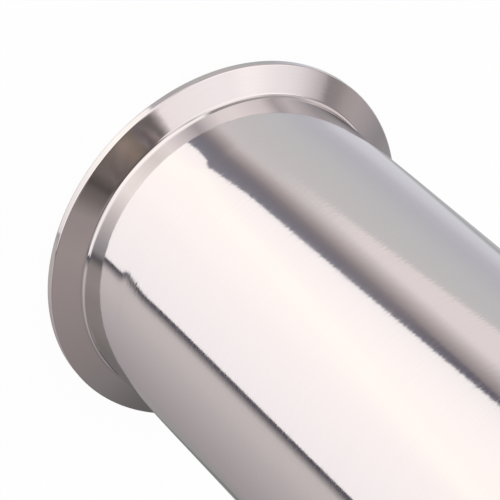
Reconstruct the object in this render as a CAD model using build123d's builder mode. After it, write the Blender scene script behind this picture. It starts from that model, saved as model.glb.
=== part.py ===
"""Sanitary spool pipe, nominal 4 inch: a plain tube with a hygienic clamp ferrule butt-welded to each end.

The pipe stands on its lower gasket face. The origin is the middle of that face and +Z runs up the axis.
Everything is turned about the Z axis, so each piece is one half section, drawn as radius and height.
"""

import math
import os

from build123d import *

# Whole pipe
OVERALL_LENGTH = 304.8  # gasket face to gasket face, 12 inch
TUBE_OD = 101.6
TUBE_WALL = 2.11

# Ferrule
FLANGE_OD = 119.0
FERRULE_LENGTH = 25.4  # gasket face to the middle of the weld, 1 inch
RIM_THICKNESS = 2.85
CLAMP_SLOPE = 20.0  # degrees, between the clamping shoulder and the gasket face
FACE_EDGE_RADIUS = 0.8
BACK_EDGE_RADIUS = 0.35
NECK_ROOT_RADIUS = 1.2

# Groove for the gasket's bead
GROOVE_PITCH_DIAMETER = 110.3
GROOVE_RADIUS = 2.35
GROOVE_DEPTH = 1.6

# Butt weld, ground and polished flush
WELD_WIDTH = 3.0
WELD_WAIST = 0.12  # how far the weld's middle sinks below the tube's outside

# Worked out
TUBE_RADIUS = TUBE_OD / 2
BORE_RADIUS = TUBE_RADIUS - TUBE_WALL
FLANGE_RADIUS = FLANGE_OD / 2
NECK_END = FERRULE_LENGTH - WELD_WIDTH / 2
TUBE_START = FERRULE_LENGTH + WELD_WIDTH / 2
SHOULDER_RISE = (FLANGE_RADIUS - TUBE_RADIUS) * math.tan(math.radians(CLAMP_SLOPE))

# Half-section planes: x is the radius, y is the height above that end's gasket face
LOWER_END = Plane.XZ
UPPER_END = Plane(origin=(0, 0, OVERALL_LENGTH), x_dir=(1, 0, 0), z_dir=(0, 1, 0))


def finish(piece, label):
    """Name a finished piece and write it out."""
    piece.part.label = label
    export_step(piece.part, f"parts/{label}.step")


def make_ferrule(label, end):
    """Clamp ferrule: a rim with a sloped back, a gasket groove in its face, and a neck as wide as the tube."""
    with BuildPart() as ferrule:
        with BuildSketch(end) as section:
            neck_root = (TUBE_RADIUS, RIM_THICKNESS + SHOULDER_RISE)
            with BuildLine():
                Polyline(
                    (BORE_RADIUS, 0),
                    (FLANGE_RADIUS, 0),
                    (FLANGE_RADIUS, RIM_THICKNESS),
                    neck_root,
                    (TUBE_RADIUS, NECK_END),
                    (BORE_RADIUS, NECK_END),
                    close=True,
                )
            make_face()
            fillet(section.vertices().sort_by_distance((FLANGE_RADIUS, 0))[0], FACE_EDGE_RADIUS)
            fillet(section.vertices().sort_by_distance((FLANGE_RADIUS, RIM_THICKNESS))[0], BACK_EDGE_RADIUS)
            fillet(section.vertices().sort_by_distance(neck_root)[0], NECK_ROOT_RADIUS)
            with Locations((GROOVE_PITCH_DIAMETER / 2, GROOVE_DEPTH - GROOVE_RADIUS)):
                Circle(GROOVE_RADIUS, mode=Mode.SUBTRACT)
        revolve(axis=Axis.Z)
    finish(ferrule, label)


def make_weld(label, end):
    """Butt weld between a ferrule's neck and the tube: full wall, flush inside, slightly waisted outside."""
    with BuildPart() as weld:
        with BuildSketch(end):
            with BuildLine():
                waist = ThreePointArc(
                    (TUBE_RADIUS, NECK_END),
                    (TUBE_RADIUS - WELD_WAIST, FERRULE_LENGTH),
                    (TUBE_RADIUS, TUBE_START),
                )
                Polyline(waist @ 1, (BORE_RADIUS, TUBE_START), (BORE_RADIUS, NECK_END), waist @ 0)
            make_face()
        revolve(axis=Axis.Z)
    finish(weld, label)


def make_tube(label):
    """Plain tube between the two welds."""
    with BuildPart() as tube:
        with BuildSketch(Plane.XY.offset(TUBE_START)):
            Circle(TUBE_RADIUS)
            Circle(BORE_RADIUS, mode=Mode.SUBTRACT)
        extrude(amount=OVERALL_LENGTH - 2 * TUBE_START)
    finish(tube, label)


os.makedirs("parts", exist_ok=True)
make_tube("tube")
make_ferrule("lower_ferrule", LOWER_END)
make_ferrule("upper_ferrule", UPPER_END)
make_weld("lower_weld", LOWER_END)
make_weld("upper_weld", UPPER_END)
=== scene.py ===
import math

import bpy
import numpy as np
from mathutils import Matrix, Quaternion, Vector


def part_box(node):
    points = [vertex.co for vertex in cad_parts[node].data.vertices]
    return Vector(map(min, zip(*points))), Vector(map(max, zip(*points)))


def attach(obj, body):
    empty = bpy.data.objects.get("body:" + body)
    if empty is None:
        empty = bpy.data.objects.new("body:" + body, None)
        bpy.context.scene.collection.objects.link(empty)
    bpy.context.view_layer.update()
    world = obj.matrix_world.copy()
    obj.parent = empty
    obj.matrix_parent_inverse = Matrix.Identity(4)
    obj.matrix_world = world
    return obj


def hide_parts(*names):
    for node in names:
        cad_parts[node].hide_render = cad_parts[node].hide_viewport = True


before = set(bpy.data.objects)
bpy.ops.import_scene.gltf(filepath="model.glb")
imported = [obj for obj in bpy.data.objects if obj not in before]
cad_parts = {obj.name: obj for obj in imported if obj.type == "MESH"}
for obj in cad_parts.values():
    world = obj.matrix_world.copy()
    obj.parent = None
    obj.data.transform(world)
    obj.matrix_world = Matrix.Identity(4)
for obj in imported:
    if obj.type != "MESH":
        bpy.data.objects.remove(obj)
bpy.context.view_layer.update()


# ---- Clamp ferrules -------------------------------------------------------------------------
# A ferrule is turned from one piece of stainless steel: a thin rim, a sloped back for the clamp,
# and a neck as wide as the tube. Its face has a groove for the gasket. It is then polished.

pipe_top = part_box("upper_ferrule")[1][2]
neck_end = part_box("lower_ferrule")[1][2]
tube_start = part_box("tube")[0][2]
neck_root = 0.007
flange_radius = 0.0595
tube_radius = 0.0508
tube_wall = 0.00211
bore_radius = tube_radius - tube_wall
rim_thickness = 0.00285
clamp_slope = math.radians(20)

# Polishing and the weld's heat leave the outside a little uneven: the neck tapers and comes
# straight again, and the tube flares out of the weld, fast at first. The lean inwards, in
# degrees, changes evenly between these heights, so each stretch is one wide arc
uneven_to = 0.047
lean_heights = (neck_root, 0.0185, 0.0235, tube_start, 0.0285, uneven_to)
lean_degrees = (0, 0.45, 0, -1.3, -1.0, 0)


def outside_at(height):
    """Radius and outward normals of the neck, weld and tube at heights over the gasket face.
    The radius falls by the sum of the lean's tangent times the height climbed, worked out in
    small steps, and is the tube's full radius where the lean ends."""
    samples = 1001
    steps = np.linspace(0, uneven_to, samples)
    lean = np.radians(np.interp(steps, lean_heights, lean_degrees))
    slope = np.tan(lean)
    fall = np.concatenate([[0], np.cumsum((slope[1:] + slope[:-1]) / 2 * np.diff(steps))])
    radius = tube_radius + fall[-1] - np.interp(height, steps, fall)
    here = np.radians(np.interp(height, lean_heights, lean_degrees))
    return radius, np.stack([np.cos(here), np.sin(here)], -1)


def corner_arc(before, corner, after, radius, steps=9):
    """Round one corner of a half section: an arc of that radius, tangent to both sides, which
    starts at radius times the tangent of half the turn before the corner. Returns the arc's
    points and outward normals, where outward is right of the way of travel."""
    before, corner, after = (np.array(p, float) for p in (before, corner, after))
    way_in = (corner - before) / np.linalg.norm(corner - before)
    way_out = (after - corner) / np.linalg.norm(after - corner)
    turn = math.atan2(way_in[0] * way_out[1] - way_in[1] * way_out[0], way_in @ way_out)
    reach = radius * abs(math.tan(turn / 2))
    angles = turn * np.linspace(0, 1, steps)
    cos, sin = np.cos(angles), np.sin(angles)
    ways = np.stack([way_in[0] * cos - way_in[1] * sin, way_in[0] * sin + way_in[1] * cos], 1)
    normals = np.stack([ways[:, 1], -ways[:, 0]], 1)
    centre = corner - way_in * reach - math.copysign(radius, turn) * normals[0]
    return centre + math.copysign(radius, turn) * normals, normals


def rounded_outline(corners):
    """A closed half section from (radius, height, rounding) corners, run anticlockwise.
    Each rounding is an arc, and each straight side keeps its own normals. Returns runs of
    (points, normals), where a run's last point is the next one's first."""
    count = len(corners)
    plan = [np.array(c[:2], float) for c in corners]
    arcs = []
    for i, (_, _, rounding) in enumerate(corners):
        if rounding > 0:
            arcs.append(corner_arc(plan[i - 1], plan[i], plan[(i + 1) % count], rounding))
        else:
            arcs.append((plan[i][None], None))
    runs = []
    for i in range(count):
        points, normals = arcs[i]
        if normals is not None:
            runs.append((points, normals))
        start, end = points[-1], arcs[(i + 1) % count][0][0]
        way = (end - start) / np.linalg.norm(end - start)
        normal = np.array([way[1], -way[0]])
        runs.append((np.stack([start, end]), np.stack([normal, normal])))
    return runs


def turn_about_axis(name, runs, sectors=384):
    """Turn a closed half section about Z: a point at (radius, height) goes to
    (radius cos a, radius sin a, height) for equal steps of the angle a. Each face corner
    keeps the section's own normal, so that flats stay flat beside small roundings."""
    rings = np.concatenate([points[:-1] for points, normals in runs])
    starts = np.concatenate([normals[:-1] for points, normals in runs])
    ends = np.concatenate([normals[1:] for points, normals in runs])
    count = len(rings)
    angle = np.arange(sectors) * 2 * np.pi / sectors
    cos, sin = np.cos(angle), np.sin(angle)

    def spun(section, which):
        """The section's (radius, height) pairs, turned to the angles of these sectors."""
        return np.stack([section[:, None, 0] * cos[which], section[:, None, 0] * sin[which],
                         np.broadcast_to(section[:, None, 1], (count, len(which)))], -1)

    here = np.arange(sectors)
    there = (here + 1) % sectors
    vertices = spun(rings, here).reshape(-1, 3)
    ring = np.arange(count)[:, None] * sectors
    ring_next = (np.arange(count)[:, None] + 1) % count * sectors
    faces = np.stack([ring + here, ring + there, ring_next + there, ring_next + here], -1)
    normals = np.stack([spun(starts, here), spun(starts, there), spun(ends, there), spun(ends, here)], 2)
    mesh = bpy.data.meshes.new(name)
    mesh.from_pydata(vertices, [], faces.reshape(-1, 4).tolist())
    mesh.shade_smooth()
    mesh.normals_split_custom_set(normals.reshape(-1, 3).tolist())
    mesh.update()
    piece = bpy.data.objects.new(name, mesh)
    bpy.context.scene.collection.objects.link(piece)
    return piece


class Value:
    """One shader socket, with Python's arithmetic adding Math nodes."""

    def __init__(self, graph, socket):
        self.graph, self.socket = graph, socket

    def math(self, operation, *others):
        return self.graph.node("ShaderNodeMath", {"operation": operation}, self, *others)[0]

    def __add__(self, other):
        return self.math("ADD", other)

    def __sub__(self, other):
        return self.math("SUBTRACT", other)

    def __rsub__(self, other):
        return self.graph.node("ShaderNodeMath", {"operation": "SUBTRACT"}, other, self)[0]

    def __mul__(self, other):
        return self.math("MULTIPLY", other)

    def __truediv__(self, other):
        return self.math("DIVIDE", other)

    __radd__ = __add__
    __rmul__ = __mul__

    def ramp_from(self, low, high):
        """0 below low, 1 above high, and a smooth step between."""
        settings = {"interpolation_type": "SMOOTHSTEP"}
        return self.graph.node("ShaderNodeMapRange", settings, self, low, high)[0]


class Added:
    """A node that was added, whose outputs are taken by place or by name."""

    def __init__(self, graph, node):
        self.graph, self.outputs = graph, node.outputs

    def __getitem__(self, which):
        return Value(self.graph, self.outputs[which])

    def __iter__(self):
        return (Value(self.graph, socket) for socket in self.outputs)


class Graph:
    """A node tree of one material or of the world."""

    def __init__(self, tree):
        self.tree = tree
        tree.nodes.clear()

    def node(self, kind, settings=None, *inputs, **named):
        """Add a node: first its settings, then its sockets' values or links."""
        node = self.tree.nodes.new(kind)
        for key, value in (settings or {}).items():
            if key == "stops":
                self.fill_ramp(node.color_ramp, value)
            else:
                setattr(node, key, value)
        by_name = {s.identifier: s for s in node.inputs}
        sockets = [(node.inputs[i], v) for i, v in enumerate(inputs)]
        sockets += [(by_name[k], v) for k, v in named.items()]
        for socket, value in sockets:
            if isinstance(value, Value):
                self.tree.links.new(value.socket, socket)
            elif value is not None:
                socket.default_value = value
        return Added(self, node)

    @staticmethod
    def fill_ramp(ramp, stops):
        """Put (place, colour) stops in a colour ramp."""
        while len(ramp.elements) < len(stops):
            ramp.elements.new(1.0)
        for element, (place, colour) in zip(ramp.elements, stops):
            element.position = place
            element.color = (*colour, 1)


def polished_steel(name, unevenness):
    """Stainless steel polished in the lathe: fine rings run about the axis, on every face of
    revolution, because they follow height less radius. They tilt the surface a little, and
    each ring scatters more or less than the next. The bore is only ground to a satin finish."""
    colour, hazy_tint = (0.80, 0.79, 0.79), 0.985
    roughness, line_haze, cloud_haze, bore_haze = 0.045, 0.05, 0.03, 0.38
    haze_from, haze_full = 0.35, 0.75
    line_pitch, line_depth = 0.00035, 1.3e-6
    # Patches per metre along a ring, and across the rings
    along_ring = 14.0
    along_spot, across_spot = 400.0, 1000.0
    along_cloud, across_cloud = 30.0, 140.0
    bore_finish_from, bore_finish_full = bore_radius + 0.0004, bore_radius + 0.0002
    material = bpy.data.materials.new(name)
    material.use_nodes = True
    g = Graph(material.node_tree)
    place = g.node("ShaderNodeTexCoord")["Object"]
    x, y, z = g.node("ShaderNodeSeparateXYZ", None, place)
    radius = (x * x + y * y).math("SQRT")
    across = z - radius
    fine = g.node("ShaderNodeCombineXYZ", None, x * along_ring, y * along_ring, across / line_pitch)[0]
    rings = g.node("ShaderNodeTexNoise", {"noise_dimensions": "3D"}, Vector=fine, Scale=1.0,
                   Detail=3.0, Roughness=0.6)[0]
    spots = g.node("ShaderNodeCombineXYZ", None, x * along_spot, y * along_spot, across * across_spot)[0]
    dapple = g.node("ShaderNodeTexNoise", {"noise_dimensions": "3D"}, Vector=spots, Scale=1.0,
                    Detail=2.0, Roughness=0.5)[0]
    broad = g.node("ShaderNodeCombineXYZ", None, x * along_cloud, y * along_cloud, across * across_cloud)[0]
    clouds = g.node("ShaderNodeTexNoise", {"noise_dimensions": "3D"}, Vector=broad, Scale=1.0,
                    Detail=2.0, Roughness=0.5)[0]
    haze = rings.ramp_from(haze_from, haze_full)
    in_bore = radius.ramp_from(bore_finish_from, bore_finish_full)
    rough = haze * line_haze + clouds * cloud_haze + in_bore * bore_haze + (roughness - cloud_haze / 2)
    bump = g.node("ShaderNodeBump", None, Height=rings + dapple * unevenness, Distance=line_depth,
                  Strength=1.0)[0]
    tone = g.node("ShaderNodeMix", {"data_type": "RGBA"}, haze, A_Color=(*colour, 1),
                  B_Color=(*(c * hazy_tint for c in colour), 1))[2]
    steel = g.node("ShaderNodeBsdfPrincipled", None, **{"Base Color": tone, "Metallic": 1.0,
                   "Roughness": rough, "Normal": bump})[0]
    g.node("ShaderNodeOutputMaterial", None, steel)
    return material


ferrule_steel = polished_steel("ferrule steel", unevenness=3.0)


def upside_down(runs):
    """The same half section standing on the pipe's top: each height is taken from the top."""
    flip = np.array([1, -1])
    return [(points[::-1] * flip + [0, pipe_top], normals[::-1] * flip) for points, normals in runs[::-1]]


def ferrule_outline():
    """Half section of a ferrule whose gasket face is at height 0. The groove is a V that peaks
    above its depth, with its peak rounded down to that depth."""
    groove_centre, groove_rounding, groove_depth = 0.05515, 0.0023, 0.0016
    groove_flank = math.radians(70)
    peak = groove_rounding * (1 / math.cos(groove_flank) - 1) + groove_depth
    groove_half = peak / math.tan(groove_flank)
    edge_rounding, face_rounding, back_rounding = 0.00005, 0.0008, 0.00055
    rim_draft = 0.00004
    root_radius = outside_at(np.array(neck_root))[0]
    # The root is two arcs, a tight one on the clamp side and a wide one that runs into the neck
    root_rounding, foot_rounding = 0.0013, 0.0040
    between, between_lean = 0.00133, math.radians(20)
    foot_radius = root_radius + between * math.sin(between_lean)
    foot = rim_thickness + (flange_radius - foot_radius) * math.tan(clamp_slope)
    runs = rounded_outline([
        (bore_radius, 0, edge_rounding),
        (groove_centre - groove_half, 0, edge_rounding),
        (groove_centre, peak, groove_rounding),
        (groove_centre + groove_half, 0, edge_rounding),
        (flange_radius - rim_draft, 0, face_rounding),
        (flange_radius + rim_draft, rim_thickness, back_rounding),
        (foot_radius, foot, root_rounding),
        (root_radius, foot + between * math.cos(between_lean), foot_rounding),
        (root_radius, neck_end, 0),
        (bore_radius, neck_end, 0),
    ])
    # The straight side after the root's arc becomes the neck's real outside
    neck = next(i for i, (points, normals) in enumerate(runs)
                if len(points) == 2 and points[1][1] == neck_end and normals[0][0] == 1)
    neck_rings = 49
    height = np.linspace(runs[neck][0][0][1], neck_end, neck_rings)
    radius, normals = outside_at(height)
    runs[neck] = (np.stack([radius, height], 1), normals)
    ends = np.array([[radius[-1], neck_end], [bore_radius, neck_end]])
    runs[neck + 1] = (ends, runs[neck + 1][1])
    return runs


def add_piece(name, node, outline, steel):
    """Turn one piece, give it its steel, and let it stand for its CAD node."""
    piece = turn_about_axis(name, outline)
    piece.data.materials.append(steel)
    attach(piece, "root")
    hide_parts(node)
    return piece


add_piece("ferrule_foot", "lower_ferrule", ferrule_outline(), ferrule_steel)
add_piece("ferrule_top", "upper_ferrule", upside_down(ferrule_outline()), ferrule_steel)


# ---- Tube -----------------------------------------------------------------------------------
# The tube is rolled from stainless sheet, seam-welded and polished. Near each end the heat of
# the butt weld has drawn it in by a fifth of a millimetre.

tube_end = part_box("tube")[1][2]
tube_steel = polished_steel("tube steel", unevenness=6.0)


def sleeve_outline(start, end, height):
    """Half section of a sleeve from start to end: the heights go up its outside, at the radius
    that both ends of the pipe share, and straight lines close it through the bore."""
    radius, outward = outside_at(np.minimum(height, pipe_top - height))
    outward = outward * np.stack([np.ones_like(height), np.sign(pipe_top / 2 - height)], 1)
    outside = np.stack([radius, height], 1)
    inside = np.array([[bore_radius, end], [bore_radius, start]])
    return [
        (outside, outward),
        (np.stack([outside[-1], inside[0]]), np.array([[0, 1], [0, 1]])),
        (inside, np.array([[-1, 0], [-1, 0]])),
        (np.stack([inside[1], outside[0]]), np.array([[0, -1], [0, -1]])),
    ]


uneven_rings = 48
near_foot = np.linspace(tube_start, uneven_to, uneven_rings)
tube_heights = np.concatenate([near_foot, (pipe_top - near_foot)[::-1]])
add_piece("tube_body", "tube", sleeve_outline(tube_start, tube_end, tube_heights), tube_steel)


# ---- Butt welds -----------------------------------------------------------------------------
# Each weld fuses a ferrule's neck to the tube through the whole wall. It is ground and polished
# until it shows only as a shallow waist, where the neck's taper turns into the tube's flare.

weld_steel = polished_steel("weld steel", unevenness=6.0)
weld_rings = 17
weld_outline = sleeve_outline(neck_end, tube_start, np.linspace(neck_end, tube_start, weld_rings))
add_piece("weld_foot", "lower_weld", weld_outline, weld_steel)
add_piece("weld_top", "upper_weld", upside_down(weld_outline), weld_steel)


# ---- Floor ----------------------------------------------------------------------------------
# A white sheet under the pipe. It shows white, and keeps a soft part of the pipe's shadow.

floor_width = 12


def white_floor():
    """Mostly plain white to the camera, with a share of real shading that carries the shadow."""
    plain_share = 0.93
    material = bpy.data.materials.new("white floor")
    material.use_nodes = True
    g = Graph(material.node_tree)
    shaded = g.node("ShaderNodeBsdfDiffuse", None, Color=(1, 1, 1, 1))[0]
    plain = g.node("ShaderNodeEmission", None, Color=(1, 1, 1, 1), Strength=1.0)[0]
    camera_ray = g.node("ShaderNodeLightPath")["Is Camera Ray"]
    mix = g.node("ShaderNodeMixShader", None, camera_ray * plain_share, shaded, plain)[0]
    g.node("ShaderNodeOutputMaterial", None, mix)
    return material


bpy.ops.mesh.primitive_plane_add(size=floor_width)
floor = bpy.context.object
floor.name = "floor"
floor.data.materials.append(white_floor())
floor.visible_glossy = False


# ---- Studio light ---------------------------------------------------------------------------
# A light tent of white and grey cloth stands round the pipe, with dark gaps between its panels.
# Only the polished steel sees the panels: a floor or backdrop sees plain white.

def light_tent():
    """World shader. A reflection sees the tent, by its compass bearing round the pipe and its
    height over the horizon, and everything else sees plain white. Places are in degrees."""
    world = bpy.data.worlds.new("light tent")
    bpy.context.scene.world = world
    world.use_nodes = True
    world.cycles.sampling_method = "NONE"
    g = Graph(world.node_tree)
    way = g.node("ShaderNodeTexCoord")["Generated"]   # in a world, the direction looked in
    x, y, z = g.node("ShaderNodeSeparateXYZ", None, way)
    degrees = 180 / math.pi
    bearing = x.math("ARCTAN2", y * -1.0) * degrees   # 0 at -Y, positive to +X
    height = z.math("ARCSINE") * degrees              # over the horizon

    def ramp(stops, along, low=-180, high=180):
        """Colours (or greys) at places between low and high, with straight blends between."""
        fill = [((place - low) / (high - low), c if isinstance(c, tuple) else (c, c, c))
                for place, c in stops]
        return g.node("ShaderNodeValToRGB", {"stops": fill}, (along - low) / (high - low))[0]

    def level(stops, along, low, high):
        """A number that changes along a few places, with straight lines between."""
        least = min(v for place, v in stops)
        span = max(v for place, v in stops) - least
        shares = [(place, (v - least) / span) for place, v in stops]
        return ramp(shares, along, low, high) * span + least

    def clipped(value, low, high):
        """The value, held between low and high."""
        return value.math("MAXIMUM", low).math("MINIMUM", high)

    def blend(share, first, second):
        """The first colour where share is 0, the second where it is 1."""
        return g.node("ShaderNodeMix", {"data_type": "RGBA"}, share, A_Color=first, B_Color=second)[2]

    # The front panel stands below the horizon. Its edges and its warm streak lean, so their
    # bearings are given at this height, with degrees of bearing for each degree of height
    panel_height = -43.4
    left_bearing, left_lean = -36.2, -1.087
    streak_bearing, streak_lean, streak_narrowness, streak_share = -4.0, 2.6, 0.14, 0.5
    over_middle = height - panel_height
    left_edge = over_middle * left_lean + left_bearing
    right_edge = level([
        (-50, 63.0), (-49.2, 63.5), (-48.6, 64.3), (-47.8, 65.8), (-47.1, 66.4), (-46.5, 64.9),
        (-45.4, 64.3), (-41, 62.95), (-38, 61.95),
    ], height, -50, -38)
    front = ramp([
        (-39, (1.12, 1.07, 1.06)), (-33, (1.17, 1.10, 1.09)), (-27, (1.22, 1.13, 1.11)),
        (-10, (1.265, 1.165, 1.13)), (8, (1.25, 1.15, 1.12)), (20, (1.21, 1.12, 1.10)),
        (40, (1.16, 1.075, 1.08)), (64, (1.115, 1.05, 1.05)),
    ], bearing, -60, 80)
    streak_place = (bearing - over_middle * streak_lean - streak_bearing) * streak_narrowness
    streak = (streak_place * streak_place * -1.0).math("EXPONENT")
    front = blend(streak * streak_share, front, (1.30, 1.24, 1.15, 1))

    # Left of it comes a dark gap and then grey cloth, whose far part leans too
    gap_stops = [
        (-52.4, (0.58, 0.51, 0.51)), (-50.3, (0.50, 0.43, 0.43)), (-48.2, (0.415, 0.36, 0.36)),
        (-46.2, (0.345, 0.30, 0.305)), (-44, (0.27, 0.235, 0.25)), (-41.5, (0.235, 0.21, 0.235)),
        (-39, (0.225, 0.21, 0.24)), (-35, (0.24, 0.225, 0.265)), (-31, (0.25, 0.235, 0.275)),
    ]
    dark_gap = ramp([(-59, (0.70, 0.64, 0.645)), (-55, (0.67, 0.605, 0.605)), *gap_stops], bearing, -180, 0)
    far_shift = clipped(height + 42.6, -3.0, 2.0) * 3.0
    far_left = bearing - far_shift * bearing.ramp_from(-138.0, -150.0)
    grey_left = ramp([
        (-180, 0.36), (-172, 0.44), (-165, 0.51), (-160, (0.47, 0.48, 0.49)), (-157, (0.40, 0.41, 0.42)),
        (-154, (0.43, 0.43, 0.45)), (-150, (0.58, 0.58, 0.61)), (-146, (0.70, 0.70, 0.74)),
        (-135, (0.67, 0.66, 0.71)), (-124, (0.575, 0.555, 0.605)), (-114, (0.55, 0.535, 0.58)),
        (-94, (0.61, 0.595, 0.61)), (-75, (0.64, 0.615, 0.61)), (-62, (0.67, 0.63, 0.63)),
    ], far_left, -180, 0)
    left = blend(bearing.ramp_from(-62.5, -58.0), grey_left, dark_gap)

    # Higher up a rose cloth covers the grey one's edge, and the gap turns darker at its top
    rose_gap = ramp([(-62, (0.90, 0.81, 0.80)), (-59.5, (0.88, 0.79, 0.785)), (-55, (0.68, 0.61, 0.60)),
                     *gap_stops], bearing, -180, 0)
    rose_edge = (height + 46.2) * -2.9 - 62.6
    rose = (bearing - rose_edge).ramp_from(-1.0, 1.6) * height.ramp_from(-46.4, -43.8)
    left = blend(rose, left, rose_gap)
    gap_top = height.ramp_from(-42.6, -40.8) * bearing.ramp_from(-46.0, -43.0)
    left = blend(gap_top * 0.55, left, (0.08, 0.075, 0.12, 1))

    # Right of it comes a dark edge and then rose-grey cloth that dims, set out from that edge
    beyond = bearing - right_edge
    right_shift = clipped(height + 43.0, -2.2, 0.5) * -4.0
    right = ramp([
        (0, (0.10, 0.09, 0.11)), (2.2, (0.11, 0.10, 0.12)), (3.4, (0.21, 0.19, 0.20)),
        (5.6, (0.42, 0.38, 0.38)), (8.0, (0.62, 0.56, 0.555)), (12, (0.65, 0.585, 0.58)),
        (20, (0.625, 0.56, 0.555)), (30, (0.565, 0.505, 0.51)), (50, (0.475, 0.425, 0.44)),
        (63, (0.43, 0.38, 0.395)), (72, (0.40, 0.36, 0.37)), (82, (0.36, 0.33, 0.335)), (91, 0.31),
        (96, 0.19), (99, 0.21), (103, 0.31), (108, 0.31), (116, 0.25),
    ], beyond - right_shift * beyond.ramp_from(76.0, 92.0), 0, 116)
    low = blend((bearing - left_edge).ramp_from(-0.4, 0.4), left, front)
    low = blend(beyond.ramp_from(-0.3, 0.3), low, right)

    # Steeply below, where the rim's edges look: the same panels, with a plainer grey beside them
    foot = ramp([
        (-180, 0.20), (-150, 0.22), (-125, 0.27), (-110, 0.45), (-104, (0.48, 0.475, 0.48)),
        (-83, (0.55, 0.52, 0.515)), (-62, (0.54, 0.515, 0.51)), (-42, (0.50, 0.465, 0.475)),
        (-28.5, (0.56, 0.52, 0.53)), (-26.5, (1.15, 1.08, 1.06)), (0, (1.25, 1.19, 1.11)),
        (21, (1.15, 1.09, 1.06)), (42, (1.05, 0.98, 0.97)), (62, (0.95, 0.89, 0.88)),
        (67.5, (0.90, 0.85, 0.84)), (69, (0.40, 0.37, 0.37)), (71.5, (0.45, 0.42, 0.42)),
        (76, (0.54, 0.51, 0.49)), (83, (0.54, 0.50, 0.485)), (104, (0.49, 0.46, 0.45)),
        (125, (0.42, 0.39, 0.395)), (150, 0.25), (180, 0.20),
    ], bearing)
    foot_top = level([(0, -51.1), (35, -51.1), (63, -50.4), (100, -49.6), (180, -49.6)],
                     bearing.math("ABSOLUTE"), 0, 180)
    low = blend((height - foot_top).ramp_from(0.3, -0.3), low, foot)

    # Over the panels hangs a dim strip of cloth on the left, and a dark one far back on the right
    strip = ramp([(-150, 0.40), (-90, (0.50, 0.46, 0.465)), (-62, (0.42, 0.38, 0.385)),
                  (-48, (0.33, 0.30, 0.31))], bearing)
    on_strip = height.ramp_from(-40.0, -35.0) * bearing.ramp_from(-150.0, -140.0)
    low = blend(on_strip * bearing.ramp_from(-43.0, -51.0), low, strip)
    far_back = height.ramp_from(-41.5, -39.0) * bearing.ramp_from(126.0, 136.0)
    low = blend(far_back, low, (0.21, 0.20, 0.205, 1))

    # A cloth skirt stands between the floor panels and the overhead ones, with a dark piece far left
    skirt = ramp([
        (-180, 0.42), (-146, (0.36, 0.34, 0.36)), (-132, (0.44, 0.41, 0.42)), (-126, (0.50, 0.46, 0.47)),
        (-112, (0.46, 0.42, 0.43)), (-96, (0.73, 0.65, 0.67)), (-87, (0.56, 0.49, 0.50)),
        (-79, (0.92, 0.83, 0.82)), (-60, (1.14, 1.03, 1.02)), (-51, (1.10, 0.99, 0.98)),
        (-44, (0.86, 0.78, 0.78)), (-37, (0.55, 0.49, 0.51)), (-27, (0.90, 0.81, 0.81)),
        (-17, (1.16, 1.05, 1.03)), (-7, (1.04, 0.95, 0.91)), (9, (1.26, 1.14, 1.11)),
        (18, (1.27, 1.15, 1.12)), (35, (0.83, 0.74, 0.73)), (52, (0.46, 0.43, 0.45)),
        (57.5, (0.36, 0.33, 0.35)), (61.3, (0.13, 0.12, 0.13)), (67, (0.38, 0.34, 0.33)),
        (76, (0.41, 0.36, 0.35)), (88, (0.35, 0.30, 0.295)), (103, (0.325, 0.29, 0.285)),
        (120, (0.235, 0.215, 0.21)), (143, (0.20, 0.185, 0.18)), (180, 0.40),
    ], bearing)
    dark_piece = bearing.ramp_from(-143.5, -138.5) * bearing.ramp_from(-102.0, -134.0)
    skirt = blend(dark_piece * height.ramp_from(15.5, 27.0), skirt, (0.11, 0.105, 0.12, 1))

    # Overhead: a bright panel to the left, a dark slot over the top, a grey panel to the right
    overhead_left = ramp([
        (14, (0.42, 0.40, 0.41)), (19, (0.35, 0.33, 0.34)), (23, (0.31, 0.29, 0.30)),
        (28, (0.42, 0.37, 0.38)), (31, (0.465, 0.40, 0.405)), (34.3, (0.43, 0.37, 0.37)),
        (36.5, (0.33, 0.285, 0.285)), (39.4, (0.29, 0.255, 0.26)), (41.2, (0.56, 0.50, 0.51)),
        (44.4, (0.78, 0.70, 0.71)), (47, (0.91, 0.83, 0.84)), (50, (0.99, 0.91, 0.92)),
        (56, (1.08, 0.98, 0.985)), (66, (1.10, 1.0, 1.01)), (78, (1.04, 0.94, 0.94)),
    ], height, 0, 90)
    side_panel = height.ramp_from(27.0, 33.0) * height.ramp_from(64.0, 58.0)
    side_panel = side_panel * bearing.ramp_from(-125.0, -115.0)
    overhead_left = blend(side_panel, overhead_left, (1.22, 1.12, 1.11, 1))
    overhead_right = ramp([
        (19, (0.145, 0.135, 0.135)), (23, (0.175, 0.16, 0.16)), (27, (0.215, 0.195, 0.195)),
        (31, (0.25, 0.225, 0.225)), (38, (0.285, 0.245, 0.24)), (48, (0.33, 0.28, 0.28)),
        (58, (0.36, 0.305, 0.30)), (64, (0.38, 0.325, 0.31)), (70, (0.36, 0.305, 0.295)), (90, 0.3),
    ], height, 0, 90)
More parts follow.
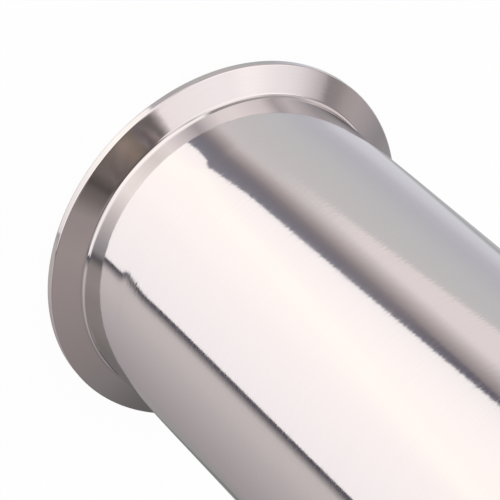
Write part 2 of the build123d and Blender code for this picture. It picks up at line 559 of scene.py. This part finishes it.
    # The slot and its two sides run along Y, so they are set out by the way's share of X
    slot = ramp([
        (-0.17, (0.99, 0.88, 0.87)), (-0.155, (0.50, 0.43, 0.42)), (-0.135, (0.16, 0.14, 0.14)),
        (-0.11, (0.155, 0.135, 0.13)), (0.0, (0.19, 0.167, 0.147)), (0.09, (0.17, 0.14, 0.125)),
        (0.12, (0.19, 0.155, 0.145)), (0.145, (0.13, 0.11, 0.10)), (0.165, (0.09, 0.075, 0.07)),
        (0.19, (0.16, 0.135, 0.13)), (0.22, (0.20, 0.165, 0.155)), (0.25, (0.28, 0.24, 0.23)),
        (0.28, (0.35, 0.30, 0.29)),
    ], x, -1, 1)
    over = blend(x.ramp_from(-0.172, -0.168), overhead_left, slot)
    over = blend(x.ramp_from(0.27, 0.30), over, overhead_right)
    front_high = ramp([
        (-56, (0.95, 0.87, 0.87)), (-28, (0.90, 0.82, 0.82)), (-18, (0.12, 0.10, 0.095)),
        (50, (0.12, 0.10, 0.095)), (60, (0.22, 0.19, 0.19)), (70, (0.36, 0.31, 0.30)),
    ], bearing)
    over = blend(y.ramp_from(-0.40, -0.48), over, front_high)

    # The overhead cloth hangs down to its hem, lower at the back corners, and a rose sheen crosses
    # the horizon on the left
    hem_height, corner_bearing, corner_width, corner_drop = 30, 138.0, 12.0, 1.5
    hem = hem_height - clipped(bearing.math("ABSOLUTE") - corner_bearing, 0.0, corner_width) * corner_drop
    upper = blend((height - hem).ramp_from(-2.5, 2.5), skirt, over)
    tent = blend(height.ramp_from(-6.0, 3.0), low, upper)
    sheen = height.ramp_from(-27.0, -18.0) * height.ramp_from(14.0, 8.0)
    sheen = sheen * bearing.ramp_from(-98.0, -112.0) * bearing.ramp_from(-152.0, -144.0)
    tent = blend(sheen, tent, (0.82, 0.72, 0.72, 1))

    # Painted shade: light that has been round the pipe's own flanges is darkened and tinted here, beyond
    # what the steel
    # takes at each reflection: any that is reflected three times or more, and from below the horizon also
    # what is reflected twice
    light = g.node("ShaderNodeLightPath")
    mirror_ray, depth = light["Is Glossy Ray"], light["Glossy Depth"]
    third = depth.ramp_from(2.4, 2.6)
    second = depth.ramp_from(1.4, 1.6) * height.ramp_from(-10.0, -20.0)
    # The tint of this painted shade, by bearing
    painted_shade_tint = ramp([
        (-75, (0.30, 0.245, 0.21)), (-60, (0.70, 0.63, 0.60)), (-33, (0.80, 0.71, 0.68)),
        (-28, (0.19, 0.165, 0.15)), (-14, (0.25, 0.21, 0.18)), (0, (0.30, 0.245, 0.21)),
        (16, (0.23, 0.195, 0.175)), (46, (0.18, 0.155, 0.145)),
    ], bearing)
    dim = blend(third.math("MAXIMUM", second), (1, 1, 1, 1), painted_shade_tint)
    tent = g.node("ShaderNodeMix", {"data_type": "RGBA", "blend_type": "MULTIPLY"}, 1.0,
                  A_Color=tent, B_Color=dim)[2]
    colour = blend(mirror_ray, (1, 1, 1, 1), tent)
    back = g.node("ShaderNodeBackground", None, colour, 1.0)[0]
    g.node("ShaderNodeOutputWorld", None, back)


light_tent()


# ---- Camera ---------------------------------------------------------------------------------
# It looks down at the pipe's foot from above, turned so that the pipe runs to the lower right.

def add_camera(place, aim, roll, lens):
    """A camera at place that looks at aim, turned about its line of sight by roll degrees."""
    data = bpy.data.cameras.new("camera")
    data.lens = lens
    data.sensor_width = 36
    data.clip_start, data.clip_end = 0.01, 50
    camera = bpy.data.objects.new("camera", data)
    bpy.context.scene.collection.objects.link(camera)
    camera.location = place
    camera.rotation_mode = "QUATERNION"
    look = (Vector(aim) - Vector(place)).to_track_quat("-Z", "Y")
    camera.rotation_quaternion = look @ Quaternion((0, 0, 1), math.radians(roll))
    return camera


bpy.context.scene.camera = add_camera(
    place=(0, -0.5696, 0.5940), aim=(-0.00316, 0, 0.0115), roll=132.97, lens=197.15)
bpy.context.scene.view_settings.view_transform = "Standard"
